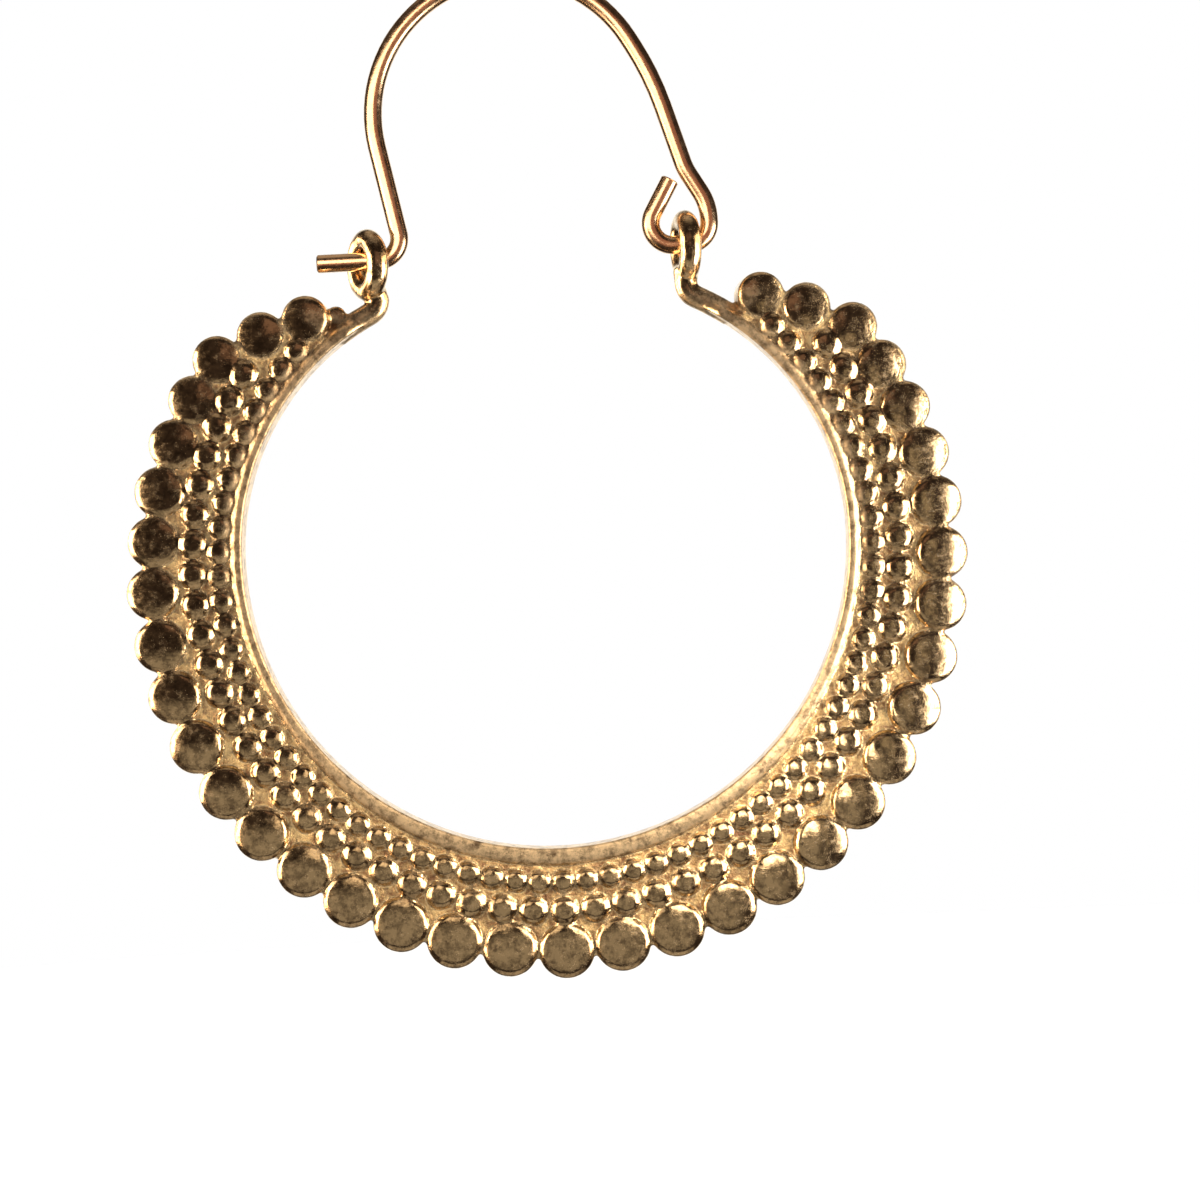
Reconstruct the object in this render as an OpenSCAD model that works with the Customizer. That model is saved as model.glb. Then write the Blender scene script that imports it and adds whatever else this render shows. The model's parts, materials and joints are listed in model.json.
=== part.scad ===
// Open hoop earring of cast brass on a bent ear wire.
// The hoop is one casting: a crescent plate edged with a smooth rim, two rows of granules and a
// border of balls on both faces, and a looped eye at each end. The ear wire hooks through both eyes.
// Millimetres, +Z up, +X to the right as seen from the front, front face towards -Y.
// The origin is the top of the ear wire's arch, where the earring hangs in the ear lobe.

/* [Rim] */
// Radius of the rim's centreline round the lower half of the hoop
rim_r = 14.9; // [14.5:0.1:15.2]
// How far the centres of the two upper arcs lie to the sides, which closes the hoop in towards its ends
rim_close = 2; // [1:0.1:2.5]
// Width of the rim, seen from the front
rim_w = 0.86; // [0.7:0.02:1]
// Depth of the rim from front to back
rim_depth = 2; // [1.6:0.1:2.2]
// Thickness of the plain round wire at both ends of the rim
end_wire_d = 1.06; // [0.9:0.02:1.1]

/* [Plate] */
// Thickness of the plate that carries the relief
plate_t = 1.2; // [0.8:0.1:1.5]
// How far the plate reaches past the centres of the border balls
web_out = 0.25; // [0.1:0.05:0.4]

/* [Ball border] */
// Diameter of the balls at the bottom of the hoop
ball_d = 2.5; // [2.3:0.05:2.5]
// How much smaller the balls at the two ends are
ball_shrink = 0.4; // [0.35:0.05:0.5]
// Radius of a ball's rounded front and back, as a share of its diameter
ball_roundness = 0.7; // [0.6:0.02:0.8]
// Height of the straight flank between a ball's front and back
ball_flank = 1.35; // [1.3:0.05:1.5]
// Distance of the lowest ball's centre from the hoop's centre
ball_row_r = 19.35; // [19.2:0.05:19.6]

/* [Granules] */
// Diameter of the granules of the outer row
outer_granule_d = 1.3; // [1.1:0.02:1.34]
// Distance of the outer row from the hoop's centre, at the bottom
outer_row_r = 17.42; // [17.3:0.02:17.5]
// Diameter of the granules of the inner row
inner_granule_d = 1.06; // [0.9:0.02:1.1]
// Distance of the inner row from the hoop's centre, at the bottom
inner_row_r = 16.06; // [16:0.02:16.1]
// Height of every granule's centre over the middle of the plate
granule_lift = 0.45; // [0.4:0.01:0.5]

/* [Eyes] */
// Distance of the left eye from the middle of the hoop
left_eye_x = 7.6; // [7.5:0.02:7.64]
// Distance of the right eye from the middle of the hoop
right_eye_x = 7.42; // [7.3:0.02:7.46]
// Height of the eyes' centres over the hoop's centre
eye_up = 13.85; // [13.8:0.05:13.9]
// Radius of the eye's centreline
eye_r = 1.12; // [1.12:0.01:1.16]
// Thickness of the metal of the eye
eye_wire_d = 0.92; // [0.86:0.02:0.94]
// Turn of the left eye about its upright axis
left_eye_turn = 23; // [0:1:26]
// Turn of the right eye about its upright axis
right_eye_turn = 10; // [0:1:12]

/* [Ear wire] */
// Thickness of the ear wire
ear_wire_d = 0.87; // [0.8:0.01:0.9]
// Radius of the arch
arch_r = 6.6; // [6.56:0.02:6.64]
// Length of the straight catch that passes through the left eye
catch_len = 3.12; // [3:0.02:3.2]
// Height of the wire's centreline over the eyes' centres, where the hoop hangs on it
hang_gap = 0.08; // [0.06:0.01:0.09]

/* [Hidden] */
$fn = 48;
brass = [0.70, 0.58, 0.33];
bright_brass = [0.76, 0.62, 0.34];

// The hoop is drawn upright in a plane, x to the right and y up from its centre, z to the front.
// The centres of the rim's arcs lie a little under the hoop's centre.
rim_sag = 0.1;
// End of the deep rim and of the round wire past it, as angles of the upper arcs.
rim_end = 59;
end_wire_from = 57;
end_wire_to = 63.3;
// The bend that turns the round wire upwards into the eye.
neck_bend_r = 0.75;
neck_top = eye_up - eye_r;
// The rounded top of the neck is this much thicker than the wire.
neck_swell = 0.06;

// A bend is a hair thicker than the straight wire and laps over its ends by this length.
bend_swell = 0.01;
bend_lap = 0.04;

// Balls of the border on each side of the lowest one. Angles run from the bottom of the hoop.
balls_per_side = 18;
ball_pitch = 7.95;
ball_pitch_fall = 0.00117;
// The last ball that stands outside both rows of granules, and the step inwards of each one past it.
last_outer_ball = 16;
ball_step_in = 1.12;
ball_row_fall = 2.2;

outer_granules_per_side = 25;
outer_pitch = 4.9;
outer_row_fall = 1.2;
inner_granules_per_side = 31;
inner_pitch = 4.04;
inner_pitch_rise = 0.006;
inner_row_fall = 1.15;

// A last small granule closes the border beside the left eye.
end_granule_d = 0.95;
end_granule_flank = 0.5;
end_granule_angle = -140.6;
end_granule_r = 14.75;

// The granules stand on the plate and reach into it down to this height over its middle.
granule_root = 0.2;

// The ear wire, from the tip of its catch to its cut end: [straight length, bend radius, turn],
// turning left where the turn is positive. The leg's length brings the bottom of the hook down to
// the height of the catch.
STRAIGHT = 0;
RADIUS = 1;
TURN = 2;
leg_heading = -73.5;
function wire_steps(leg) = [
    [catch_len, 1.05, 101],
    [4.24, arch_r, -161],
    [0.4, 14, -13.5],
    [leg, 2.5, 13.5],
    [1.05, 2.6, -30],
    [0.15, 1.01, -90],
    [0.72, 1.05, -120],
    [1.8, 0, 0]
];
hook_bottom = 6;
catch_tip = [-10.34, eye_up + hang_gap];

// Place and heading where the walk along the first n steps arrives, from the hoop's centre.
function turned(v, a) = [v.x * cos(a) - v.y * sin(a), v.x * sin(a) + v.y * cos(a)];
function across(s) =
    [s[STRAIGHT] + s[RADIUS] * sin(abs(s[TURN])),
     sign(s[TURN]) * s[RADIUS] * (1 - cos(s[TURN]))];
function walk(steps, n, i = 0, at = catch_tip, heading = 0) =
    i == n ? [at, heading]
    : walk(steps, n, i + 1, at + turned(across(steps[i]), heading), heading + steps[i][TURN]);
drop_without_leg = walk(wire_steps(0), hook_bottom)[0].y - catch_tip.y;
ear_wire_steps = wire_steps(drop_without_leg / sin(-leg_heading));

// The hoop's centre hangs this far under the origin, the top of the arch.
arch_start = walk(ear_wire_steps, 1);
arch_from = arch_start[0] + turned([ear_wire_steps[1][STRAIGHT], 0], arch_start[1]);
hoop_drop = arch_from.y + arch_r * (1 - cos(arch_start[1]));

// Radius of a row at an angle from the bottom: it closes in slowly first, then faster to the ends.
function row_r(bottom_r, fall, power, a) = bottom_r - fall * pow(sin(abs(a) / 2), power);
function ball_angle(i) = sign(i) * (ball_pitch * abs(i) - ball_pitch_fall * pow(abs(i), 3));
function ball_at_r(i) =
    abs(i) <= last_outer_ball ? row_r(ball_row_r, ball_row_fall, 4, ball_angle(i))
    : ball_at_r(last_outer_ball) - ball_step_in * (abs(i) - last_outer_ball);
function ball_diameter(i) = ball_d - ball_shrink * pow(i / balls_per_side, 2);
function inner_angle(i) = sign(i) * (inner_pitch * abs(i) + inner_pitch_rise * pow(i, 2));
function around(r, a) = [r * sin(a), -r * cos(a)];

module stand_up() {
    translate([0, 0, -hoop_drop]) rotate([90, 0, 0]) children();
}

// A round bar bent about z, from angle a0 to a1.
module round_arc(r, wire_d, a0, a1) {
    rotate([0, 0, a0]) rotate_extrude(angle = a1 - a0) translate([r, 0]) circle(d = wire_d);
}

module rim_section() {
    straight = rim_depth - rim_w;
    translate([0, straight / 2]) circle(d = rim_w);
    translate([0, -straight / 2]) circle(d = rim_w);
    square([rim_w, straight], center = true);
}

module rim() {
    translate([0, -rim_sag, 0]) {
        rotate([0, 0, 180]) rotate_extrude(angle = 180) translate([rim_r, 0]) rim_section();
        for (side = [0, 1]) mirror([side, 0, 0]) translate([rim_close, 0, 0])
            rotate_extrude(angle = rim_end) translate([rim_r - rim_close, 0]) rim_section();
    }
}

// The plate lies between the rim's centreline and a line just outside the balls' centres.
module plate() {
    half = balls_per_side;
    outside = [for (i = [-half : half]) around(ball_at_r(i) + web_out, ball_angle(i))];
    upper = rim_r - rim_close;
    rim_right = [for (a = [58 : -8 : 2])
        [rim_close + upper * cos(a), upper * sin(a) - rim_sag]];
    rim_low = [for (a = [-6 : -6 : -174]) [rim_r * cos(a), rim_r * sin(a) - rim_sag]];
    rim_left = [for (i = [len(rim_right) - 1 : -1 : 0]) [-rim_right[i].x, rim_right[i].y]];
    linear_extrude(plate_t, center = true) polygon(concat(outside, rim_right, rim_low, rim_left));
}

// A ball is rounded to the front and to the back, with a straight flank between.
module ball(d, flank) {
    round_r = ball_roundness * d;
    middle = sqrt(pow(round_r, 2) - pow(d / 2, 2)) - flank / 2;
    rotate_extrude() intersection() {
        translate([0, -middle]) circle(r = round_r);
        translate([0, middle]) circle(r = round_r);
        translate([0, -d]) square([d / 2, 2 * d]);
    }
}

module ball_border() {
    for (i = [-balls_per_side : balls_per_side])
        translate(around(ball_at_r(i), ball_angle(i))) ball(ball_diameter(i), ball_flank);
    translate(around(end_granule_r, end_granule_angle)) ball(end_granule_d, end_granule_flank);
}

// A granule on each face of the plate.
module granule(r, a, d) {
    for (face = [0, 1]) translate(around(r, a)) mirror([0, 0, face]) rotate_extrude() intersection() {
        translate([0, granule_lift]) circle(d = d);
        translate([0, granule_root]) square([d, d]);
    }
}

module granule_rows() {
    for (i = [-outer_granules_per_side : outer_granules_per_side])
        granule(row_r(outer_row_r, outer_row_fall, 2, i * outer_pitch), i * outer_pitch,
                outer_granule_d);
    for (i = [-inner_granules_per_side : inner_granules_per_side]) {
        a = inner_angle(i);
        granule(row_r(inner_row_r, inner_row_fall, 3, a), a, inner_granule_d);
    }
}

// The rim runs on as round wire and bends up into the eye's lower strand. Drawn for the right side.
module wire_end() {
    upper = rim_r - rim_close;
    heading = end_wire_to + 90;
    start = [rim_close + upper * cos(end_wire_to), upper * sin(end_wire_to) - rim_sag];
    centre = start + neck_bend_r * [cos(end_wire_to), sin(end_wire_to)];
    lap = bend_lap / neck_bend_r * 180 / PI;
    neck = [centre.x - neck_bend_r, centre.y, 0];
    translate([rim_close, -rim_sag, 0])
        round_arc(upper, end_wire_d, end_wire_from, end_wire_to);
    translate(centre) round_arc(neck_bend_r, end_wire_d + bend_swell, 180 - lap, heading + 90 + lap);
    translate(neck) rotate([-90, 0, 0]) cylinder(d = end_wire_d, h = neck_top - centre.y);
    translate([neck.x, neck_top, 0]) sphere(d = end_wire_d + neck_swell);
}

// The eye's hole faces along x. The turn brings its front strand to the right.
module eye(turn) {
    rotate([0, turn, 0]) rotate([0, 90, 0]) round_arc(eye_r, eye_wire_d, 0, 360);
}

module hoop() {
    color(brass) stand_up() {
        rim();
        plate();
        ball_border();
        granule_rows();
        for (side = [0, 1]) mirror([side, 0, 0]) wire_end();
        translate([-left_eye_x, eye_up, 0]) eye(left_eye_turn);
        translate([right_eye_x, eye_up, 0]) eye(right_eye_turn);
    }
}

// One step of the wire along x: a straight length, then a bend to the left.
module wire_bend(s) {
    lap = bend_lap / s[RADIUS] * 180 / PI;
    translate([s[STRAIGHT], s[RADIUS], 0])
        round_arc(s[RADIUS], ear_wire_d + bend_swell, -90 - lap, abs(s[TURN]) - 90 + lap);
}

module wire_step(s) {
    rotate([0, 90, 0]) cylinder(d = ear_wire_d, h = s[STRAIGHT]);
    if (s[TURN] > 0) wire_bend(s);
    if (s[TURN] < 0) mirror([0, 1, 0]) wire_bend(s);
}

module ear_wire() {
    color(bright_brass) stand_up()
        for (i = [0 : len(ear_wire_steps) - 1]) {
            start = walk(ear_wire_steps, i);
            translate(start[0]) rotate([0, 0, start[1]]) wire_step(ear_wire_steps[i]);
        }
}

hoop();
ear_wire();
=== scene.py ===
"""Open hoop earring of cast brass on a bent ear wire, built as an add-on's operators.

The hoop is one casting: a crescent plate with a smooth rim, two rows of granules and a border of balls on
both faces, and a looped eye at each end. It is modelled in millimetres round its own centre, x to the
right, z up and the front towards -y, and is then brought to its real size and place.
"""

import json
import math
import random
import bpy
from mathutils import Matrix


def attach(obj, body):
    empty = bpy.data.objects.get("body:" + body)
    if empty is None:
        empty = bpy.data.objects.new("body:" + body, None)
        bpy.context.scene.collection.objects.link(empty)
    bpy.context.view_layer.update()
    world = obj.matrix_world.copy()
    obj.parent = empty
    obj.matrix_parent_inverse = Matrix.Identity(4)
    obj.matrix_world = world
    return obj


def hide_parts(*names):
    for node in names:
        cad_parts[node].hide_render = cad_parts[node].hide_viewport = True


bl_info = {
    "name": "Granulated Hoop Earring",
    "version": (1, 0, 0),
    "blender": (4, 5, 0),
    "location": "View3D > Sidebar > Earring",
    "description": "Models an open granulated hoop and its ear wire, with brass finishes and a plain studio",
    "category": "Object",
}

from collections import namedtuple
from contextlib import contextmanager
from math import cos, pi, radians, sin, sqrt

import bmesh
import bpy
import numpy as np
from bpy.props import FloatProperty, FloatVectorProperty, IntProperty, PointerProperty
from mathutils import Vector

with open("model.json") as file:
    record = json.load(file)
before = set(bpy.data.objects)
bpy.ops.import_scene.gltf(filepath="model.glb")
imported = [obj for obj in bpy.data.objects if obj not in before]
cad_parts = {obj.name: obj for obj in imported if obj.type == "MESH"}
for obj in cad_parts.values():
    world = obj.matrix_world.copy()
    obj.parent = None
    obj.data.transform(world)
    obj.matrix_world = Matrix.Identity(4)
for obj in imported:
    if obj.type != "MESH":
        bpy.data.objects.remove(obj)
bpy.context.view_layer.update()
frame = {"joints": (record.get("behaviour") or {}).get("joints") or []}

MM = 0.001
MM_PER_PX = 0.0476
PICTURE_PX = 1200
SENSOR_MM = 36
# Points that are nearer together than this, in millimetres, are merged.
MERGED_WITHIN = 0.002
HOOP_PIECE = "hoop_casting"
WIRE_PIECE = "ear_wire_bent"

# A stretch of bent wire: a straight length, then a bend of that radius, to the left if the turn is positive.
Bend = namedtuple("Bend", "straight radius turn")


def length(name, description, size):
    return FloatProperty(name=name, description=description, default=size * MM, unit="LENGTH", precision=5)


def angle(name, description, degrees):
    return FloatProperty(name=name, description=description, default=radians(degrees), subtype="ANGLE")


def colour(name, description, value):
    return FloatVectorProperty(name=name, description=description, default=value, size=3, min=0, max=1,
                               subtype="COLOR")


class HoopSizes(bpy.types.PropertyGroup):
    """Sizes of the cast hoop."""

    rim_r: length("Rim radius", "Radius of the rim's centreline round the lower half of the hoop", 14.8)
    rim_close: length("Rim closing", "How far the centres of the upper arcs lie to the sides", 2)
    rim_sag: length("Rim sag", "How far the centres of the rim's arcs lie under the hoop's centre", 0)
    rim_w: length("Rim width", "Width of the rim, seen from the front", 0.86)
    rim_depth: length("Rim depth", "Depth of the rim from front to back", 2)
    rim_edge: length("Rim edge", "Radius of the rim's inner edges", 0.1)
    rim_slope: length("Rim slope", "Radius of the rim's edges next to the granules", 0.42)
    rim_end: angle("Rim end", "Where the deep rim ends, as an angle of the upper arcs", 57)
    end_wire_d: length("End wire thickness", "Thickness of the plain wire past the rim", 1.1)
    end_wire_to: angle("End wire end", "Where the wire turns upwards, as an angle of the upper arcs", 63.3)
    neck_bend_r: length("Neck bend", "Radius of the bend that turns the wire upwards", 0.75)
    plate_t: length("Plate thickness", "Thickness of the plate between the rim and the balls", 1.2)
    web_out: length("Web", "How far the plate reaches past the centres of the balls", 0.25)
    ball_d: length("Ball diameter", "Diameter of the lowest ball of the border", 2.68)
    ball_shrink: length("Ball shrink", "How much smaller the balls at the two ends are", 0.4)
    ball_flank: length("Ball flank", "Height of the straight flank between a ball's front and back", 1.25)
    ball_row_r: length("Ball row radius", "Distance of the lowest ball from the hoop's centre", 19.23)
    balls_per_side: IntProperty(name="Balls per side", description="Balls on each side of the lowest one",
                                default=18)
    outer_granule_d: length("Outer granule", "Diameter of the granules of the outer row", 1.58)
    outer_row_r: length("Outer row radius", "Distance of the outer row from the hoop's centre", 17.34)
    inner_granule_d: length("Inner granule", "Diameter of the granules of the inner row", 1.28)
    inner_row_r: length("Inner row radius", "Distance of the inner row from the hoop's centre", 15.98)
    outer_lift: length("Outer lift", "Height of the outer granules' centres over the plate's middle", 0.4)
    inner_lift: length("Inner lift", "Height of the inner granules' centres over the plate's middle", 0.48)
    left_eye_x: length("Left eye", "Distance of the left eye from the middle of the hoop", 7.75)
    right_eye_x: length("Right eye", "Distance of the right eye from the middle of the hoop", 7.42)
    eye_up: length("Eye height", "Height of the eyes' centres over the hoop's centre", 13.85)
    left_eye_drop: length("Left eye drop", "How much lower the left eye's centre lies", 0.1)
    left_eye_r: length("Left eye radius", "Radius of the left eye's centreline", 1.2)
    left_eye_wire_d: length("Left eye thickness", "Thickness of the metal of the left eye", 1.06)
    left_eye_turn: angle("Left eye turn", "Turn of the left eye about its upright axis", 28)
    right_eye_r: length("Right eye radius", "Radius of the right eye's centreline", 1.2)
    right_eye_wire_d: length("Right eye thickness", "Thickness of the metal of the right eye", 1.05)
    right_eye_turn: angle("Right eye turn", "Turn of the right eye about its upright axis", 11)
    grain: length("Mesh grain", "Size of the facets that the casting is fused to", 0.09)
    hand_tilt: angle("Hand tilt", "Most that a ball leans, as it was set by hand", 3)
    right_turn: angle("Right turn", "How far the balls at the right are turned outwards", 7)


class EarWireSizes(bpy.types.PropertyGroup):
    """Sizes of the bent ear wire."""

    wire_d: length("Wire thickness", "Thickness of the ear wire", 0.87)
    arch_r: length("Arch radius", "Radius of the arch that goes through the ear lobe", 6.6)
    catch_len: length("Catch length", "Length of the straight catch in the left eye", 2.92)
    tip_x: length("Catch tip", "Distance of the catch's tip from the middle of the hoop", 10.14)
    hang_gap: length("Hang gap", "Height of the wire over the eyes' centres", 0.08)


class BrassColours(bpy.types.PropertyGroup):
    """Colours of the two brass finishes."""

    polished: colour("Polished brass", "Worn tops of the casting", (0.84, 0.64, 0.395))
    golden: colour("Golden brass", "Rough ground between the granules", (1.0, 0.71, 0.32))
    stain: colour("Stain", "Dull patches of the worn tops", (0.15, 0.10, 0.06))
    # This brown also darkens the casting's creases past their own tarnish, as painted shade.
    tarnish: colour("Tarnish", "Brown tarnish that stays in the hollows", (0.20, 0.085, 0.035))
    wire: colour("Wire brass", "Drawn brass of the ear wire", (0.88, 0.63, 0.40))


class StudioSizes(bpy.types.PropertyGroup):
    """The camera's place and the floor."""

    distance: length("Camera distance", "Distance of the camera from the hoop's plane", 147)
    lean: angle("Lean", "How far the hoop leans to the left in the picture", 3.07)
    picture_right: length("Picture centre right", "Picture's centre, to the right of the hoop's centre", 2.45)
    picture_down: length("Picture centre down", "Picture's centre, under the hoop's centre", 2.75)
    floor_depth: length("Floor depth", "Depth of the floor under the ear", 120)


GROUPS = {"hoop_sizes": HoopSizes, "ear_wire_sizes": EarWireSizes, "brass_colours": BrassColours,
          "studio_sizes": StudioSizes}


def millimetres(group):
    """The values of a property group, with its lengths in millimetres."""
    found = {}
    for prop in group.bl_rna.properties:
        if prop.identifier in group.__annotations__:
            value = getattr(group, prop.identifier)
            found[prop.identifier] = value / MM if prop.unit == "LENGTH" else value
    return type(group.__class__.__name__, (), found)


# Modelling helpers

def deselect_all():
    if bpy.context.mode != "OBJECT":
        bpy.ops.object.mode_set(mode="OBJECT")
    bpy.ops.object.select_all(action="DESELECT")


def added(name, operator, **settings):
    """Adds a primitive with its turn and place applied to its mesh."""
    deselect_all()
    operator(**settings)
    piece = bpy.context.active_object
    piece.name = piece.data.name = name
    bpy.ops.object.transform_apply(location=True, rotation=True, scale=True)
    return piece


@contextmanager
def editing(piece):
    """Edit mode with this piece alone."""
    deselect_all()
    piece.select_set(True)
    bpy.context.view_layer.objects.active = piece
    bpy.ops.object.mode_set(mode="EDIT")
    yield
    bpy.ops.object.mode_set(mode="OBJECT")


def select(kind, wanted):
    """In edit mode, selects the verts, edges or faces for which wanted is true."""
    bpy.ops.mesh.select_mode(type={"verts": "VERT", "edges": "EDGE", "faces": "FACE"}[kind])
    bpy.ops.mesh.select_all(action="DESELECT")
    piece = bpy.context.active_object
    mesh = bmesh.from_edit_mesh(piece.data)
    for element in getattr(mesh, kind):
        element.select_set(wanted(element))
    mesh.select_flush_mode()
    bmesh.update_edit_mesh(piece.data)


def applied(piece, kind, **settings):
    """Adds a modifier and applies it."""
    deselect_all()
    piece.select_set(True)
    bpy.context.view_layer.objects.active = piece
    modifier = piece.modifiers.new(kind.title(), kind)
    for name, value in settings.items():
        setattr(modifier, name, value)
    bpy.ops.object.modifier_apply(modifier=modifier.name)


def copied(model, place, turn=(0, 0, 0), size=1):
    """A copy of a finished model with a mesh of its own."""
    twin = model.copy()
    twin.data = model.data.copy()
    bpy.context.collection.objects.link(twin)
    twin.location = place
    twin.rotation_euler = turn
    twin.scale = (size, size, size)
    return twin


def joined(name, parts):
    """One piece of many parts, with their turns and places applied to its mesh."""
    deselect_all()
    for part in parts:
        part.select_set(True)
    bpy.context.view_layer.objects.active = parts[0]
    bpy.ops.object.join()
    piece = bpy.context.active_object
    piece.name = piece.data.name = name
    bpy.ops.object.transform_apply(location=True, rotation=True, scale=True)
    return piece


def close_and_turn_out():
    """In edit mode, merges doubles and points all faces outwards."""
    bpy.ops.mesh.select_all(action="SELECT")
    bpy.ops.mesh.remove_doubles(threshold=MERGED_WITHIN)
    bpy.ops.mesh.normals_make_consistent(inside=False)


def brought_home(piece, centre_z):
    """Brings a piece from millimetres round the hoop's centre to metres in the frame."""
    deselect_all()
    piece.select_set(True)
    bpy.context.view_layer.objects.active = piece
    piece.scale = (MM, MM, MM)
    piece.location = (0, 0, centre_z)
    bpy.ops.object.transform_apply(location=True, rotation=True, scale=True)


def around(r, a):
    """Place in the hoop's plane at a distance from its centre and an angle from its bottom."""
    return Vector((r * sin(a), 0, -r * cos(a)))


def hoop_centre_z():
    """Height of the hoop's centre in the frame: the wire in its eyes is the hinge of the hoop's swing."""
    hoop = millimetres(bpy.context.scene.hoop_sizes)
    wire = millimetres(bpy.context.scene.ear_wire_sizes)
    hinge = frame["joints"][0]["pos_m"][2]
    return hinge - (hoop.eye_up + wire.hang_gap) * MM


# The cast hoop

# Angles are from the hoop's bottom. A pitch is the angle from one ball or granule to the next, and the fall
# of a row is how far it would close in up to the hoop's top.
BALL_PITCH = radians(7.95)
BALL_PITCH_FALL = radians(0.00117)
BALL_ROW_FALL = 2.35
LAST_OUTER_BALL = 16
BALL_STEP_IN = 1.12
BALL_ROUNDNESS = 1.4
BALL_SHOULDER = 0.16
OUTER_GRANULES_PER_SIDE = 25
OUTER_PITCH = radians(4.9)
OUTER_ROW_FALL = 1.2
INNER_GRANULES_PER_SIDE = 31
INNER_PITCH = radians(4.04)
INNER_PITCH_RISE = radians(0.006)
INNER_ROW_FALL = 1.35
GRANULE_STRETCH = 1.04
GRANULE_WORN_PAST = 0.42
GRANULE_WEAR = 0.5
END_GRANULE_D = 0.95
END_GRANULE_ANGLE = radians(-140.6)
END_GRANULE_R = 14.75
END_WIRE_LAP = radians(3)
RIM_TAPER_STEPS = 6
TAPER_END = 0.6
RIM_SIDE_SLIMMING = 0.2
RIM_SIDE_SLOPE = 0.2
NECK_STEPS = 4
NECK_LEAN = 0.5
NECK_SWELL = 1.2
# Rises, in thicknesses of the eye's metal, and narrowings of the neck's domed top.
NECK_DOME = ((0.14, 0.95), (0.12, 0.85), (0.08, 0.6))
EYE_TOP_WEAR = 0.97
EYE_HALF_DEPTH = 1.55
PLATE_SIDES = 144
TRIANGLE_LIMIT = 194000

# Where the marks of the surface fade in, in millimetres: over the plate's face, over the rim's face, inside
# the rim's centreline, past its outline and over the eyes' centres. Facing is how far a normal points to the
# front or the back, the end wires have a share of the rim's satin, and the hollow range runs from a crest to
# a crease.
GROUND_FADE = (0.08, 0.26)
RIM_TOP_FADE = (-0.18, -0.1)
RIM_WALL_FADE = (0, 0.15)
RIM_SIDE_FADE = (-0.05, 0.05)
NECK_FADE = (-2.6, -2)
FACING_FADE = (0.5, 0.85)
END_WIRE_SATIN = 0.5
HOLLOW_RANGE = 0.12


def row_r(bottom_r, fall, power, a):
    """Radius of a row at an angle from the bottom: it closes in slowly first, then faster to the ends."""
    return bottom_r - fall * sin(abs(a) / 2) ** power


def ball_angle(i):
    """Angle of a ball, counted from the lowest one."""
    return math.copysign(BALL_PITCH * abs(i) - BALL_PITCH_FALL * abs(i) ** 3, i)


def ball_at_r(s, i):
    """Distance of a ball from the hoop's centre: the last ones on each side step in."""
    if abs(i) <= LAST_OUTER_BALL:
        return row_r(s.ball_row_r, BALL_ROW_FALL, 4, ball_angle(i))
    return ball_at_r(s, LAST_OUTER_BALL) - BALL_STEP_IN * (abs(i) - LAST_OUTER_BALL)


def rim_at_r(s, a):
    """Distance of the rim's centreline from the hoop's centre at an angle from the bottom."""
    side = math.copysign(s.rim_close, a) if abs(a) > pi / 2 else 0
    radius = s.rim_r - abs(side)
    along = sin(a) * side + cos(a) * s.rim_sag
    return along + sqrt(radius ** 2 - side ** 2 - s.rim_sag ** 2 + along ** 2)


def rim(s):
    """Half of the rim is spun from one section, thinned down at its end and mirrored.

    At the sides the rim is slimmer, and its outer half slopes down to the granules.
    """
    bottom = -s.rim_sag - s.rim_r
    piece = added("rim", bpy.ops.mesh.primitive_plane_add, size=1, location=(0, 0, bottom),
                  rotation=(0, pi / 2, 0))
    upper_centre = (s.rim_close, 0, -s.rim_sag)
    with editing(piece):
        bpy.ops.mesh.select_all(action="SELECT")
        bpy.ops.transform.resize(value=(1, s.rim_depth, s.rim_w))
        select("verts", lambda v: v.co.z > bottom)
        bpy.ops.mesh.bevel(offset=s.rim_edge, segments=4, affect="VERTICES")
        select("verts", lambda v: v.co.z < bottom - s.rim_w / 2 + 0.01)
        bpy.ops.mesh.bevel(offset=s.rim_slope, segments=6, affect="VERTICES")
        bpy.ops.mesh.select_all(action="SELECT")
        bpy.ops.mesh.delete(type="ONLY_FACE")
        bpy.ops.mesh.select_all(action="SELECT")
        bpy.ops.mesh.spin(steps=60, angle=pi / 2, center=(0, 0, -s.rim_sag), axis=(0, 1, 0))
        bpy.ops.mesh.spin(steps=34, angle=s.rim_end, center=upper_centre, axis=(0, 1, 0))
        taper = (s.end_wire_to - s.rim_end) / RIM_TAPER_STEPS
        slimmer = (TAPER_END * s.end_wire_d / s.rim_w) ** (1 / RIM_TAPER_STEPS)
        shallower = (TAPER_END * s.end_wire_d / s.rim_depth) ** (1 / RIM_TAPER_STEPS)
        for _ in range(RIM_TAPER_STEPS):
            bpy.ops.mesh.spin(steps=1, angle=taper, center=upper_centre, axis=(0, 1, 0))
            bpy.ops.transform.resize(value=(slimmer, shallower, slimmer))
        bpy.ops.mesh.edge_face_add()
        mesh = bmesh.from_edit_mesh(piece.data)
        for v in mesh.verts:
            a = math.atan2(v.co.x, -v.co.z)
            inner = rim_at_r(s, a) - s.rim_w / 2
            sideways = sin(min(a, pi / 2)) ** 2
            outwards = math.hypot(v.co.x, v.co.z) - inner
            lower = 1 - RIM_SIDE_SLOPE * sideways * max(0, outwards + s.rim_slope - s.rim_w) / s.rim_slope
            v.co = (around(inner + outwards * (1 - RIM_SIDE_SLIMMING * sideways), a)
                    + Vector((0, v.co.y * lower, 0)))
        bmesh.update_edit_mesh(piece.data)
    applied(piece, "MIRROR", use_axis=(True, False, False), merge_threshold=MERGED_WITHIN)
    with editing(piece):
        close_and_turn_out()
    return piece


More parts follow.
